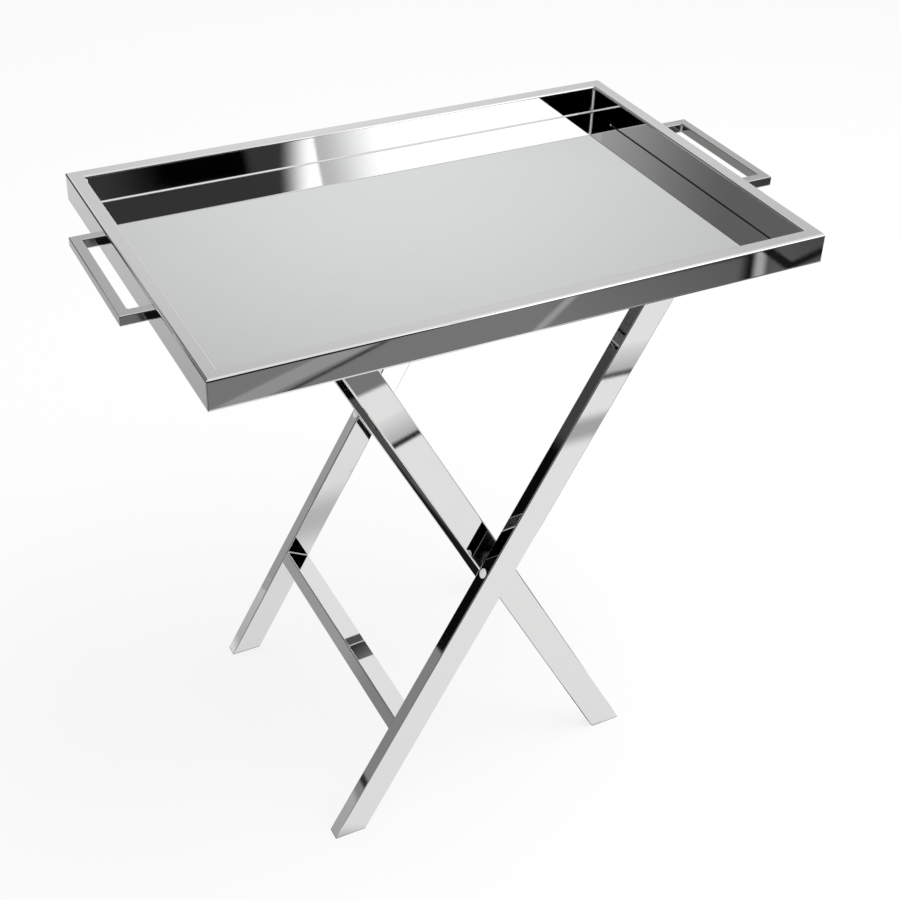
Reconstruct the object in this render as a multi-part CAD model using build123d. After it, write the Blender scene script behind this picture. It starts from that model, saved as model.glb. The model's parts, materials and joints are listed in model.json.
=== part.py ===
"""Folding tray table: a lift-off tray of mirror-polished tube and sheet on a folding X stand.

Millimetres, +Z up. The origin is on the floor, under the middle of the tray. X runs along the tray's long
side and -Y is the front. The outer frame leans to the right going up, and the inner frame to the left.
"""
from build123d import *
import os
from math import cos, radians, tan

# Tray
tray_length = 600.0
tray_width = 400.0
table_height = 628.0
rail_height = 30.0
rail_width = 15.0
rail_edge = 2.5
tray_corner = 1.2
floor_thickness = 1.2
floor_inset = 4.0

# Tube of the rails, legs, bars and stretcher
tube_wall = 1.5
tube_edge = 1.2

# Handles of square bar on the short ends
handle_length = 152.0
handle_reach = 31.0
handle_bar = 10.0
handle_edge = 1.2
handle_drop = 2.5

# Stand
leg_wide = 30.0
leg_thick = 15.0
leg_lean = 28.8
outer_frame_depth = 320.0
frame_gap = 8.0
stretcher_height = 119.0
top_bar_wide = 25.0
top_bar_thick = 15.0

# Plastic inserts in the leg ends
glide_sole = 1.2
cap_flange = 1.2
insert_inset = 0.4
insert_depth = 14.0
insert_fit = 0.15

# Pads between the top bars and the tray
pad_diameter = 12.0
pad_thickness = 1.5
pad_distance = 180.0
pad_edge = 0.4

# Pivot on each side
bolt_diameter = 8.0
bolt_head_diameter = 15.0
bolt_head_height = 4.2
bolt_engagement = 10.0
bolt_tip_chamfer = 0.8
socket_width = 5.0
socket_depth = 2.4
washer_diameter = 18.0
washer_thickness = 1.4
bush_wall = 1.6
bush_flange_diameter = 20.0
bush_flange_thickness = 1.5
running_clearance = 0.05
side_clearance = 0.1
bolt_hole_clearance = 0.25

# Threaded block inside each outer leg, its fixing screw and the cap over that screw
block_length = 44.0
block_fit = 0.1
block_screw_diameter = 5.0
block_screw_length = 16.0
block_screw_drop = 8.5
block_screw_head_diameter = 8.0
screw_socket_diameter = 3.0
screw_socket_depth = 1.4
screw_cap_lip = 1.0
screw_cap_height = 1.8

# Cleats under the tray that hold the top bars
cleat_length = 210.0
cleat_drop = 10.0
cleat_flange = 16.0
cleat_thickness = 1.5
cleat_inside_bend = 0.7
cleat_clearance = 0.5
stud_diameter = 4.0
stud_length = 8.0
stud_distance = 150.0
stud_hole_clearance = 0.2
nut_width = 7.0
nut_height = 3.2

# Heights and depths that follow from the sizes above
rail_bottom = table_height - rail_height
tray_underside = rail_bottom - floor_thickness
stand_top = tray_underside - pad_thickness
pivot_height = stand_top / 2
outer_inside = outer_frame_depth / 2 - leg_thick
inner_outside = outer_inside - frame_gap
inner_inside = inner_outside - leg_thick
lean_rise = cos(radians(leg_lean))
lean_run = tan(radians(leg_lean))
top_bar_middle = stand_top - top_bar_thick / 2
top_bar_offset = (top_bar_middle - pivot_height) * lean_run
oversize = 2 * (tray_length + tray_width + table_height)

FRONT = -1
BACK = 1
OUTER = 1
INNER = -1


def tube_section(wide, thick, edge):
    """Hollow rectangular tube section with its outer edges rounded to a radius."""
    outside = RectangleRounded(wide, thick, edge)
    inside = Rectangle(wide - 2 * tube_wall, thick - 2 * tube_wall)
    return outside - inside


def level_slab(low, high):
    """Everything between two heights."""
    return Pos(0, 0, (low + high) / 2) * Box(oversize, oversize, high - low)


def leg_plane(frame, y):
    """Place at the pivot with local X across the leg, local Y to the back and local Z up along the leg."""
    turn = Rotation(0, frame * leg_lean, 0)
    return Pos(0, y, pivot_height) * turn


def along_leg(frame, y, section):
    """A section drawn out along a leg, well past both of its ends."""
    return leg_plane(frame, y) * extrude(section, amount=oversize / 2, both=True)


def leg_middle(frame, side):
    """Distance of a leg's centre plane from the middle of the stand."""
    inside = outer_inside if frame == OUTER else inner_inside
    return side * (inside + leg_thick / 2)


def pivot_plane(side):
    """Plane on the inner face of the inner leg at the pivot, with local Z pointing out of the stand."""
    return Plane(origin=(0, side * inner_inside, pivot_height), x_dir=(1, 0, 0), z_dir=(0, side, 0))


def ring(outer_diameter, inner_diameter, low, high):
    """Ring about local Z between two heights."""
    face = Circle(outer_diameter / 2) - Circle(inner_diameter / 2)
    return Pos(0, 0, low) * extrude(face, amount=high - low)


def rod(diameter, low, high):
    """Round rod about local Z between two heights."""
    return Pos(0, 0, low) * extrude(Circle(diameter / 2), amount=high - low)


def dome(diameter, height):
    """Shallow domed button that stands on the local XY plane."""
    crown = (diameter ** 2 / 4 + height ** 2) / (2 * height)
    ball = Pos(0, 0, height - crown) * Sphere(crown)
    return ball & rod(diameter, 0, height)


# Tray
def tray_rail(turn):
    """One tray rail, mitred at both ends. Its turn about the middle of the tray says which side it is on."""
    on_end = turn % 180 == 0
    run = tray_width if on_end else tray_length
    across = tray_length if on_end else tray_width
    outside = across / 2
    inside = outside - rail_width
    middle = Pos(outside - rail_width / 2, table_height - rail_height / 2)
    section = Plane.XZ * middle * tube_section(rail_width, rail_height, rail_edge)
    tube = extrude(section, amount=run / 2, both=True)
    tangent = run / 2 - tray_corner
    corner_tip = CenterArc((outside - tray_corner, tangent), tray_corner, 0, 45)
    half = Polyline((outside, 0), (outside, tangent)) + corner_tip
    half += Polyline(corner_tip @ 1, (inside, run / 2 - rail_width), (inside, 0), (outside, 0))
    half_mitre = extrude(make_face(half), amount=table_height, dir=(0, 0, 1))
    half_rail = tube & half_mitre
    return Rot(0, 0, turn) * (half_rail + mirror(half_rail, about=Plane.XZ))


def tray_floor():
    """Mirror sheet under the rails, set in from their outer faces."""
    sheet = Rectangle(tray_length - 2 * floor_inset, tray_width - 2 * floor_inset)
    return Pos(0, 0, tray_underside) * extrude(sheet, amount=floor_thickness)


def tray_handle(end):
    """U of square bar on a short end of the tray, with mitred corners."""
    rail_face = end * tray_length / 2
    grip = end * (tray_length / 2 + handle_reach - handle_bar / 2)
    half = handle_length / 2 - handle_bar / 2
    height = table_height - handle_drop - handle_bar / 2
    corners = [(rail_face, half), (grip, half), (grip, -half), (rail_face, -half)]
    path = Polyline(*[(x, y, height) for x, y in corners])
    section = Plane(origin=path @ 0, x_dir=(0, 1, 0), z_dir=path % 0)
    bar = section * RectangleRounded(handle_bar, handle_bar, handle_edge)
    return sweep(bar, path=path, transition=Transition.RIGHT)


# Under the tray
def cleat_face(end):
    """Distance from the middle of the upright face that a cleat turns to its top bar."""
    return end * (top_bar_offset + top_bar_wide / 2 + cleat_clearance)


def stud_places(end):
    """Places of the studs that hold one cleat, on the tray's underside."""
    x = cleat_face(end) + end * (cleat_flange + cleat_thickness) / 2
    return [Pos(x, row * stud_distance / 2, tray_underside) for row in (-1, 1)]


def cleat(end):
    """Folded angle outside a top bar: a flange against the tray and a lip that hangs beside the bar."""
    face = cleat_face(end)
    flange_outline = [(0, 0), (cleat_flange, 0), (cleat_flange, -cleat_thickness)]
    lip_outline = [(cleat_thickness, -cleat_thickness), (cleat_thickness, -cleat_drop), (0, -cleat_drop)]
    profile = make_face(Polyline(*flange_outline, *lip_outline, close=True))
    outside_bend = profile.vertices().sort_by_distance((0, 0, 0))[0]
    profile = fillet(outside_bend, cleat_inside_bend + cleat_thickness)
    inside_bend = profile.vertices().sort_by_distance((cleat_thickness, -cleat_thickness, 0))[0]
    profile = fillet(inside_bend, cleat_inside_bend)
    strip = extrude(Plane.XZ * profile, amount=cleat_length / 2, both=True)
    strip = strip if end > 0 else mirror(strip, about=Plane.YZ)
    strip = Pos(face, 0, tray_underside) * strip
    for place in stud_places(end):
        strip -= place * rod(stud_diameter + 2 * stud_hole_clearance, -stud_length, 0)
    return strip


def floor_studs():
    """Studs welded to the underside of the tray floor."""
    return [place * rod(stud_diameter, -stud_length, 0) for end in (-1, 1) for place in stud_places(end)]


def cleat_nuts():
    """Hexagon nuts under the cleats."""
    low, high = -cleat_thickness - nut_height, -cleat_thickness
    thread = Circle(stud_diameter / 2 + running_clearance)
    hexagon = RegularPolygon(nut_width / 2, 6, major_radius=False) - thread
    nut = Pos(0, 0, low) * extrude(hexagon, amount=high - low)
    return [place * nut for end in (-1, 1) for place in stud_places(end)]


# Stand
def leg(frame, side):
    """Tube leg, cut level at the foot and at the top, with its pivot holes."""
    y = leg_middle(frame, side)
    tube = along_leg(frame, y, tube_section(leg_wide, leg_thick, tube_edge))
    body = tube & level_slab(glide_sole, stand_top - cap_flange)
    if frame == INNER:
        bush_hole = rod(bush_diameter() + 2 * running_clearance, -leg_thick, 2 * leg_thick)
        return body - pivot_plane(side) * bush_hole
    bolt_hole = rod(bolt_diameter + 2 * bolt_hole_clearance, 0, outer_wall_start() + leg_thick / 2)
    screw_hole = rod(block_screw_head_diameter + 2 * block_fit, -leg_wide / 2, 0)
    return body - pivot_plane(side) * bolt_hole - block_screw_plane(side) * screw_hole


def foot_glide(frame, side):
    """Insert that closes a foot: a thin sole outside the tube and a plug inside it."""
    y = leg_middle(frame, side)
    sole = Rectangle(leg_wide - 2 * insert_inset, leg_thick - 2 * insert_inset)
    plug = insert_section()
    lower = along_leg(frame, y, sole) & level_slab(0, glide_sole)
    upper = along_leg(frame, y, plug) & level_slab(glide_sole, glide_sole + insert_depth)
    return lower + upper


def leg_cap(frame, side):
    """Insert that closes the top of a leg."""
    y = leg_middle(frame, side)
    flange = Rectangle(leg_wide - 2 * insert_inset, leg_thick - 2 * insert_inset)
    plug = insert_section()
    tube_end = stand_top - cap_flange
    upper = along_leg(frame, y, flange) & level_slab(tube_end, stand_top)
    lower = along_leg(frame, y, plug) & level_slab(tube_end - insert_depth, tube_end)
    return lower + upper


def insert_section():
    """Plug section that slides into a leg tube."""
    slack = 2 * tube_wall + 2 * insert_fit
    return Rectangle(leg_wide - slack, leg_thick - slack)


def top_bar(frame):
    """Level tube between the tops of a pair of legs, which carries the tray."""
    inside = outer_inside if frame == OUTER else inner_inside
    tube = extrude(Plane.XZ * tube_section(top_bar_wide, top_bar_thick, tube_edge), amount=inside, both=True)
    return Pos(frame * top_bar_offset, 0, top_bar_middle) * tube


def rest_pads(frame):
    """Round pads on a top bar, under the tray."""
    x = frame * top_bar_offset
    pad = chamfer(rod(pad_diameter, 0, pad_thickness).edges().sort_by(Axis.Z)[-1], pad_edge)
    return [Pos(x, row * pad_distance / 2, stand_top) * pad for row in (-1, 1)]


def stretcher():
    """Low tube between the outer legs, turned so that its narrow sides lie flush with theirs."""
    down = (pivot_height - stretcher_height) / lean_rise
    section = Plane.XZ * tube_section(leg_wide, leg_thick, tube_edge)
    tube = extrude(section, amount=outer_inside, both=True)
    return leg_plane(OUTER, 0) * Pos(0, 0, -down) * tube


# Pivot, measured outwards from the inner leg's inner face
def bush_diameter():
    """Outside diameter of the bush's sleeve."""
    return bolt_diameter + 2 * running_clearance + 2 * bush_wall


def outer_wall_start():
    """Inner face of the outer leg."""
    return leg_thick + frame_gap


def block_screw_plane(side):
    """Plane on the outer leg's upper narrow side, below the pivot, with local Z pointing out of the leg."""
    into_leg = leg_plane(OUTER, leg_middle(OUTER, side)) * Pos(-leg_wide / 2, 0, -block_screw_drop)
    return into_leg * Rotation(0, -90, 0)


def pivot_bolt(side):
    """Button-head bolt from the inside of the inner leg into the block in the outer leg."""
    seat = -side_clearance - washer_thickness
    tip = outer_wall_start() + tube_wall + block_fit + bolt_engagement
    head = Rot(180, 0, 0) * dome(bolt_head_diameter, bolt_head_height)
    socket = extrude(RegularPolygon(socket_width / 2, 6, major_radius=False), amount=socket_depth)
    head -= Pos(0, 0, -bolt_head_height) * socket
    shank = chamfer(rod(bolt_diameter, seat, tip).edges().sort_by(Axis.Z)[-1], bolt_tip_chamfer)
    return pivot_plane(side) * (Pos(0, 0, seat) * head + shank)


def bolt_washer(side):
    """Washer under the bolt's head."""
    hole = bolt_diameter + 2 * bolt_hole_clearance
    seat = -side_clearance - washer_thickness
    return pivot_plane(side) * ring(washer_diameter, hole, seat, -side_clearance)


def pivot_bush(side):
    """Flanged bush in the inner leg, which turns on the bolt."""
    bore = bolt_diameter + 2 * running_clearance
    sleeve = ring(bush_diameter(), bore, 0, leg_thick)
    flange = ring(bush_flange_diameter, bore, leg_thick, leg_thick + bush_flange_thickness)
    return pivot_plane(side) * (sleeve + flange)


def pivot_spacer(side):
    """Collar on the bolt between the bush's flange and the outer leg."""
    hole = bolt_diameter + 2 * bolt_hole_clearance
    low = leg_thick + bush_flange_thickness + side_clearance
    return pivot_plane(side) * ring(bush_flange_diameter, hole, low, outer_wall_start())


def pivot_block(side):
    """Threaded block inside the outer leg."""
    slack = 2 * tube_wall + 2 * block_fit
    section = Rectangle(leg_wide - slack, leg_thick - slack)
    block = leg_plane(OUTER, leg_middle(OUTER, side)) * extrude(section, amount=block_length / 2, both=True)
    bolt_thread = rod(bolt_diameter + 2 * running_clearance, 0, outer_wall_start() + leg_thick)
    screw_thread = rod(block_screw_diameter + 2 * running_clearance, -block_screw_length, 0)
    return block - pivot_plane(side) * bolt_thread - block_screw_plane(side) * screw_thread


def block_screw(side):
    """Screw through the leg's narrow wall that holds the block in place."""
    head_low = -tube_wall - block_fit
    head = rod(block_screw_head_diameter, head_low, 0) - rod(screw_socket_diameter, -screw_socket_depth, 0)
    shank = rod(block_screw_diameter, running_clearance - block_screw_length, head_low)
    return block_screw_plane(side) * (head + shank)


def screw_cap(side):
    """Domed cap over the block's screw, with a peg in the screw's socket."""
    peg = rod(screw_socket_diameter - 2 * running_clearance, running_clearance - screw_socket_depth, 0)
    button = dome(block_screw_head_diameter + 2 * screw_cap_lip, screw_cap_height)
    return block_screw_plane(side) * (button + peg)


def both_sides(make):
    """The front and back copies of a pivot piece."""
    return [make(FRONT), make(BACK)]


def leg_ends(make, frame):
    """The front and back copies of a leg insert."""
    return [make(frame, FRONT), make(frame, BACK)]


nodes = {
    "tray_front_rail": [tray_rail(270)],
    "tray_back_rail": [tray_rail(90)],
    "tray_left_rail": [tray_rail(180)],
    "tray_right_rail": [tray_rail(0)],
    "tray_floor": [tray_floor()],
    "handle_left": [tray_handle(-1)],
    "handle_right": [tray_handle(1)],
    "cleat_left": [cleat(-1)],
    "cleat_right": [cleat(1)],
    "floor_studs": floor_studs(),
    "cleat_nuts": cleat_nuts(),
    "outer_leg_front": [leg(OUTER, FRONT)],
    "outer_leg_back": [leg(OUTER, BACK)],
    "outer_stretcher": [stretcher()],
    "outer_top_bar": [top_bar(OUTER)],
    "outer_foot_glides": leg_ends(foot_glide, OUTER),
    "outer_leg_caps": leg_ends(leg_cap, OUTER),
    "outer_rest_pads": rest_pads(OUTER),
    "inner_leg_front": [leg(INNER, FRONT)],
    "inner_leg_back": [leg(INNER, BACK)],
    "inner_top_bar": [top_bar(INNER)],
    "inner_foot_glides": leg_ends(foot_glide, INNER),
    "inner_leg_caps": leg_ends(leg_cap, INNER),
    "inner_rest_pads": rest_pads(INNER),
    "pivot_bolts": both_sides(pivot_bolt),
    "bolt_washers": both_sides(bolt_washer),
    "pivot_bushes": both_sides(pivot_bush),
    "pivot_spacers": both_sides(pivot_spacer),
    "pivot_blocks": both_sides(pivot_block),
    "block_screws": both_sides(block_screw),
    "screw_caps": both_sides(screw_cap),
}

os.makedirs("parts", exist_ok=True)
for name, pieces in nodes.items():
    solids = [solid for piece in pieces for solid in piece.solids()]
    export_step(Compound(children=solids), f"parts/{name}.step")
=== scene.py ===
"""Folding tray table: finishes, weld beads, floor seam and studio.

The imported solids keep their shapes. This add-on gives each of them its finish, adds the polished weld beads
and the seam at the foot of the tray's walls, and stands the table on a pale studio floor. Metres, +Z up, with
the table's front towards -Y.
"""
import json
import math
from collections import namedtuple

import bmesh
import bpy
from bpy.props import FloatProperty, FloatVectorProperty, PointerProperty
from mathutils import Matrix, Quaternion, Vector, noise


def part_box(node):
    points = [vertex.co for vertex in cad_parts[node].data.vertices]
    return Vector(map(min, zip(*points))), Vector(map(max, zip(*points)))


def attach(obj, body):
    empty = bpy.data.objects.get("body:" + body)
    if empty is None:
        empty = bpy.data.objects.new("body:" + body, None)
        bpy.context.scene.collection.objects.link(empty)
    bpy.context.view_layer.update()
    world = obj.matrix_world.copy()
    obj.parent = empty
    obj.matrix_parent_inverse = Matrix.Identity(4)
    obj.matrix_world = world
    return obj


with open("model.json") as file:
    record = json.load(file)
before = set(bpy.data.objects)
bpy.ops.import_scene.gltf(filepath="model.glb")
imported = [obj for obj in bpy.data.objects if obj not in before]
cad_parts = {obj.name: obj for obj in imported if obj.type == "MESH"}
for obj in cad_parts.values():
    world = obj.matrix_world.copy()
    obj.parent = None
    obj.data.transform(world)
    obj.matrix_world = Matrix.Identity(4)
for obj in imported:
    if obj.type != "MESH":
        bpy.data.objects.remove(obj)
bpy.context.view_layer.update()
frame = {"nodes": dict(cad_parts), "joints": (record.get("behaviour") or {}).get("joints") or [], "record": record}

bl_info = {
    "name": "Folding Tray Table",
    "version": (1, 0, 0),
    "blender": (4, 5, 0),
    "location": "3D View > Sidebar > Tray Table",
    "description": "Finishes, weld beads and studio of a folding tray table in mirror-polished steel",
    "category": "Object",
}

SLOT_COLOUR = {material["slot"]: material["base_color"] for material in frame["record"]["materials"]}


def middle(node):
    """Centre of a solid's box."""
    low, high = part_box(node)
    return (low + high) / 2


def joint(name):
    """One joint of the record, by name."""
    return next(entry for entry in frame["joints"] if entry["name"] == name)


PIVOT = Vector(joint("stand_fold")["pos_m"])
TOP_BAR = middle("outer_top_bar") - PIVOT
LEG_LEAN = math.atan2(TOP_BAR.x, TOP_BAR.z)
QUARTER_TURN = math.pi / 2
LENGTHWISE_X = (0, 0, 0)
LENGTHWISE_Y = (0, 0, QUARTER_TURN)
ALONG_OUTER_LEG = (0, LEG_LEAN - QUARTER_TURN, 0)
ALONG_INNER_LEG = (0, -LEG_LEAN - QUARTER_TURN, 0)


# Settings
def colour_setting(name, description, default):
    """A colour that a user can change."""
    return FloatVectorProperty(name=name, description=description, subtype="COLOR", size=3, min=0, max=1,
                               default=tuple(default))


def length_setting(name, description, default):
    """A length in metres that a user can change."""
    return FloatProperty(name=name, description=description, unit="LENGTH", min=0, precision=5,
                         default=default)


def share_setting(name, description, default):
    """A share between 0 and 1 that a user can change."""
    return FloatProperty(name=name, description=description, subtype="FACTOR", min=0, max=1, default=default)


class TrayTableFinishes(bpy.types.PropertyGroup):
    """Colours and surface sizes of the table's finishes, and of the painted shade in the gap at the pivot."""

    steel: colour_setting("Polished steel", "Colour of the rails and the stand", (0.72, 0.72, 0.715))
    handle: colour_setting("Handle", "Colour of the hand-polished handles", (0.52, 0.52, 0.515))
    sheet: colour_setting("Tray sheet", "Colour of the mirror sheet in the tray", (0.72, 0.727, 0.731))
    underside: colour_setting("Tray underside", "Colour of the sheet's dull underside", (0.07, 0.07, 0.07))
    zinc: colour_setting("Zinc plating", "Colour of nuts, studs and cleats", SLOT_COLOUR["zinc_steel"])
    blackened: colour_setting("Blackened steel", "Colour of the bolts, washers and collars at the pivot",
                              (0.07, 0.07, 0.075))
    # Painted shade: the next colour darkens the outer legs' faces in the gap where the inner legs turn on them, in
    # place of the shade there.
    pivot_gap_shade: colour_setting("Rubbed steel", "Colour of the dull patch that one leg rubs on the other",
                           (0.03, 0.03, 0.03))
    insert: colour_setting("Tube inserts", "Colour of the feet and leg caps", (0.2, 0.2, 0.205))
    bush: colour_setting("Pivot bush", "Colour of the bushes in the inner legs", SLOT_COLOUR["bush_plastic"])
    cap: colour_setting("Screw cap", "Colour of the domed caps", (0.95, 0.95, 0.94))
    rubber: colour_setting("Rest pad", "Colour of the pads under the tray", SLOT_COLOUR["pad_rubber"])
    steel_roughness: share_setting("Steel roughness", "Roughness of a clean polished tube", 0.02)
    handle_roughness: share_setting("Handle roughness", "Roughness of a clean handle", 0.04)
    sheet_roughness: share_setting("Sheet roughness", "Roughness of the clean mirror sheet", 0.012)
    underside_roughness: share_setting("Underside roughness", "Roughness of the sheet's dull underside", 0.55)
    # The next roughness goes with the painted shade in the pivot gap.
    pivot_gap_shade_roughness: share_setting("Rubbed roughness", "Roughness of the rubbed patch on the legs", 0.5)
    smudge_roughness: share_setting("Smudge roughness", "Roughness that a hand mark adds", 0.03)
    smudge_tone: share_setting("Smudge tone", "Share of the steel's colour under a hand mark", 0.98)
    line_pitch: length_setting("Polishing line", "Distance between polishing lines", 0.0006)
    line_length: length_setting("Line length", "Length of a polishing line", 0.05)
    smudge_size: length_setting("Smudge", "Size of a hand mark", 0.045)
    tube_wave: length_setting("Tube wave", "Length of the slow waves along a tube's faces", 0.09)
    tube_wave_depth: length_setting("Tube wave depth", "Depth of those waves", 0.00006)
    sheet_wave: length_setting("Sheet wave", "Length of the slow waves in the sheet", 0.22)
    sheet_wave_depth: length_setting("Sheet wave depth", "Depth of those waves", 0.00004)


class TrayTableWelds(bpy.types.PropertyGroup):
    """Sizes of the polished weld beads and of the floor seam."""

    tray_bead: length_setting("Tray bead", "Leg of the beads in the tray's inner corners", 0.0024)
    floor_seam: length_setting("Floor seam", "Leg of the bevel at the foot of the tray's walls", 0.0011)
    rail_edge: length_setting("Rail edge", "Radius of the rails' edges, which the floor seam fills", 0.0025)
    handle_bead: length_setting("Handle bead", "Leg of the beads on the handles", 0.0018)
    stand_bead: length_setting("Stand bead", "Leg of the beads on the stretcher and top bars", 0.0008)
    ripple: share_setting("Ripple", "Unevenness of a bead, as a share of its leg", 0.16)
    ripple_pitch: length_setting("Ripple pitch", "Distance between ripples along a bead", 0.004)


class TrayTableStudio(bpy.types.PropertyGroup):
    """Floor, light and camera."""

    floor: colour_setting("Floor", "Colour of the studio floor", (0.95, 0.95, 0.95))
    floor_size: length_setting("Floor size", "Side of the square floor", 24.0)
    floor_glow: share_setting("Floor white", "Share of plain white in what the camera sees of the floor", 0.8)
    floor_near: length_setting("Floor near", "Distance where the floor starts to turn plain white", 1.0)
    floor_far: length_setting("Floor far", "Distance where the floor is plain white", 5.0)
    fill: share_setting("Fill light", "Even light from all round", 0.68)
    key_power: FloatProperty(name="Key light", description="Power of the overhead soft light", unit="POWER",
                             min=0, default=46.0)
    key_size: length_setting("Key size", "Side of the overhead soft light", 2.0)
    key_place: FloatVectorProperty(name="Key place", description="Middle of the overhead soft light", size=3,
                                   unit="LENGTH", default=(0.9, -0.5, 2.6))
    lens: FloatProperty(name="Lens", description="Focal length", unit="CAMERA", min=1, default=61.54)
    camera_place: FloatVectorProperty(name="Camera place", description="Place of the camera", size=3,
                                      unit="LENGTH", default=(-0.5997, -1.1553, 1.2818))
    azimuth: FloatProperty(name="Azimuth", description="Side that the camera looks from, 0 at the front",
                           subtype="ANGLE", default=math.radians(-28.02))
    elevation: FloatProperty(name="Elevation", description="Angle of the view above the floor",
                             subtype="ANGLE", default=math.radians(33.61))
    roll: FloatProperty(name="Roll", description="Turn of the camera about its view", subtype="ANGLE",
                        default=math.radians(2.03))
    shift: FloatVectorProperty(name="Shift", description="Lens shift as a share of the frame", size=2,
                               default=(0.0051, -0.0663))


# Shader nodes
STREAKS_PER_SMUDGE = 9.0
GRAINS_PER_CLOUD = 14.0


def add_node(tree, kind, **settings):
    """A new node with its settings."""
    node = tree.nodes.new(kind)
    for name, value in settings.items():
        setattr(node, name, value)
    return node


def set_inputs(node, **values):
    """Sets a node's unlinked inputs by name. An underscore stands for a space."""
    for name, value in values.items():
        node.inputs[name.replace("_", " ")].default_value = value
    return node


def calculate(tree, operation, first, second):
    """Arithmetic on two values, each a socket or a number."""
    node = add_node(tree, "ShaderNodeMath", operation=operation)
    for slot, value in enumerate((first, second)):
        if isinstance(value, (int, float)):
            node.inputs[slot].default_value = value
        else:
            tree.links.new(value, node.inputs[slot])
    return node.outputs["Value"]


def ramp_between(tree, value, low, high):
    """A smooth mask: 0 below low, 1 above high."""
    node = add_node(tree, "ShaderNodeMapRange", interpolation_type="SMOOTHSTEP")
    set_inputs(node, From_Min=low, From_Max=high)
    tree.links.new(value, node.inputs["Value"])
    return node.outputs["Result"]


def noise_value(tree, vector, scale, detail=0.0, distortion=0.0):
    """Plain noise between 0 and 1."""
    node = add_node(tree, "ShaderNodeTexNoise")
    set_inputs(node, Detail=detail, Distortion=distortion)
    if isinstance(scale, (int, float)):
        node.inputs["Scale"].default_value = scale
    else:
        tree.links.new(scale, node.inputs["Scale"])
    tree.links.new(vector, node.inputs["Vector"])
    return node.outputs["Fac"]


def start_group(name, inputs, outputs):
    """An empty shader group with its sockets. Returns the group, its input node and its output node."""
    group = bpy.data.node_groups.new(name, "ShaderNodeTree")
    for direction, sockets in (("INPUT", inputs), ("OUTPUT", outputs)):
        for socket, kind in sockets.items():
            group.interface.new_socket(socket, in_out=direction, socket_type=kind)
    return group, add_node(group, "NodeGroupInput"), add_node(group, "NodeGroupOutput")


def polishing_lines_group():
    """Fine lines that polishing leaves along a tube, as a height between 0 and 1."""
    inputs = {"Vector": "NodeSocketVector", "Length": "NodeSocketFloat", "Pitch": "NodeSocketFloat"}
    group, start, end = start_group("polishing_lines", inputs, {"Height": "NodeSocketFloat"})
    stretch = add_node(group, "ShaderNodeCombineXYZ")
    for axis, size in (("X", "Length"), ("Y", "Pitch"), ("Z", "Pitch")):
        group.links.new(calculate(group, "DIVIDE", 1.0, start.outputs[size]), stretch.inputs[axis])
    scaled = add_node(group, "ShaderNodeVectorMath", operation="MULTIPLY")
    group.links.new(start.outputs["Vector"], scaled.inputs[0])
    group.links.new(stretch.outputs["Vector"], scaled.inputs[1])
    group.links.new(noise_value(group, scaled.outputs["Vector"], 1.0, detail=2.0), end.inputs["Height"])
    return group


def hand_smudges_group():
    """Faint marks that hands and cloths leave, as a mask between 0 and 1."""
    inputs = {"Vector": "NodeSocketVector", "Size": "NodeSocketFloat"}
    group, start, end = start_group("hand_smudges", inputs, {"Mask": "NodeSocketFloat"})
    coarse = calculate(group, "DIVIDE", 1.0, start.outputs["Size"])
    fine = calculate(group, "MULTIPLY", coarse, STREAKS_PER_SMUDGE)
    patches = noise_value(group, start.outputs["Vector"], coarse, detail=2.0, distortion=0.6)
    streaks = noise_value(group, start.outputs["Vector"], fine, detail=3.0, distortion=1.5)
    mask = calculate(group, "MULTIPLY", ramp_between(group, patches, low=0.5, high=0.72),
                     ramp_between(group, streaks, low=0.35, high=0.7))
    group.links.new(mask, end.inputs["Mask"])
    return group


def slow_waves_group():
    """Slow waves of a drawn tube or a thin sheet, as a height between 0 and 1."""
    inputs = {"Vector": "NodeSocketVector", "Length": "NodeSocketFloat"}
    group, start, end = start_group("slow_waves", inputs, {"Height": "NodeSocketFloat"})
    scale = calculate(group, "DIVIDE", 1.0, start.outputs["Length"])
    group.links.new(noise_value(group, start.outputs["Vector"], scale), end.inputs["Height"])
    return group


def moulded_grain_group():
    """Fine grain and cloudy tone of a moulded or plated surface, each between 0 and 1."""
    inputs = {"Vector": "NodeSocketVector", "Grain": "NodeSocketFloat"}
    outputs = {"Height": "NodeSocketFloat", "Cloud": "NodeSocketFloat"}
    group, start, end = start_group("moulded_grain", inputs, outputs)
    fine = calculate(group, "DIVIDE", 1.0, start.outputs["Grain"])
    coarse = calculate(group, "DIVIDE", fine, GRAINS_PER_CLOUD)
    group.links.new(noise_value(group, start.outputs["Vector"], fine, detail=3.0), end.inputs["Height"])
    group.links.new(noise_value(group, start.outputs["Vector"], coarse, detail=2.0), end.inputs["Cloud"])
    return group


def soft_edge_group():
    """Mask of a studio card that fades towards its edges, and the height on the card."""
    inputs = {"Vector": "NodeSocketVector"}
    inputs.update(dict.fromkeys(("Left", "Right", "Low", "High"), "NodeSocketFloat"))
    outputs = {"Mask": "NodeSocketFloat", "Height": "NodeSocketFloat"}
    group, start, end = start_group("soft_edge", inputs, outputs)
    split = add_node(group, "ShaderNodeSeparateXYZ")
    group.links.new(start.outputs["Vector"], split.inputs["Vector"])
    across, up = split.outputs["X"], split.outputs["Y"]
    mask = 1.0
    for inset, share in ((across, "Left"), (calculate(group, "SUBTRACT", 1.0, across), "Right"),
                         (up, "Low"), (calculate(group, "SUBTRACT", 1.0, up), "High")):
        fade = ramp_between(group, calculate(group, "DIVIDE", inset, start.outputs[share]), 0.0, 1.0)
        mask = calculate(group, "MULTIPLY", fade, mask)
    group.links.new(mask, end.inputs["Mask"])
    group.links.new(up, end.inputs["Height"])
    return group


GROUP_MAKERS = {
    "polishing_lines": polishing_lines_group,
    "hand_smudges": hand_smudges_group,
    "slow_waves": slow_waves_group,
    "moulded_grain": moulded_grain_group,
    "soft_edge": soft_edge_group,
}


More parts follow.
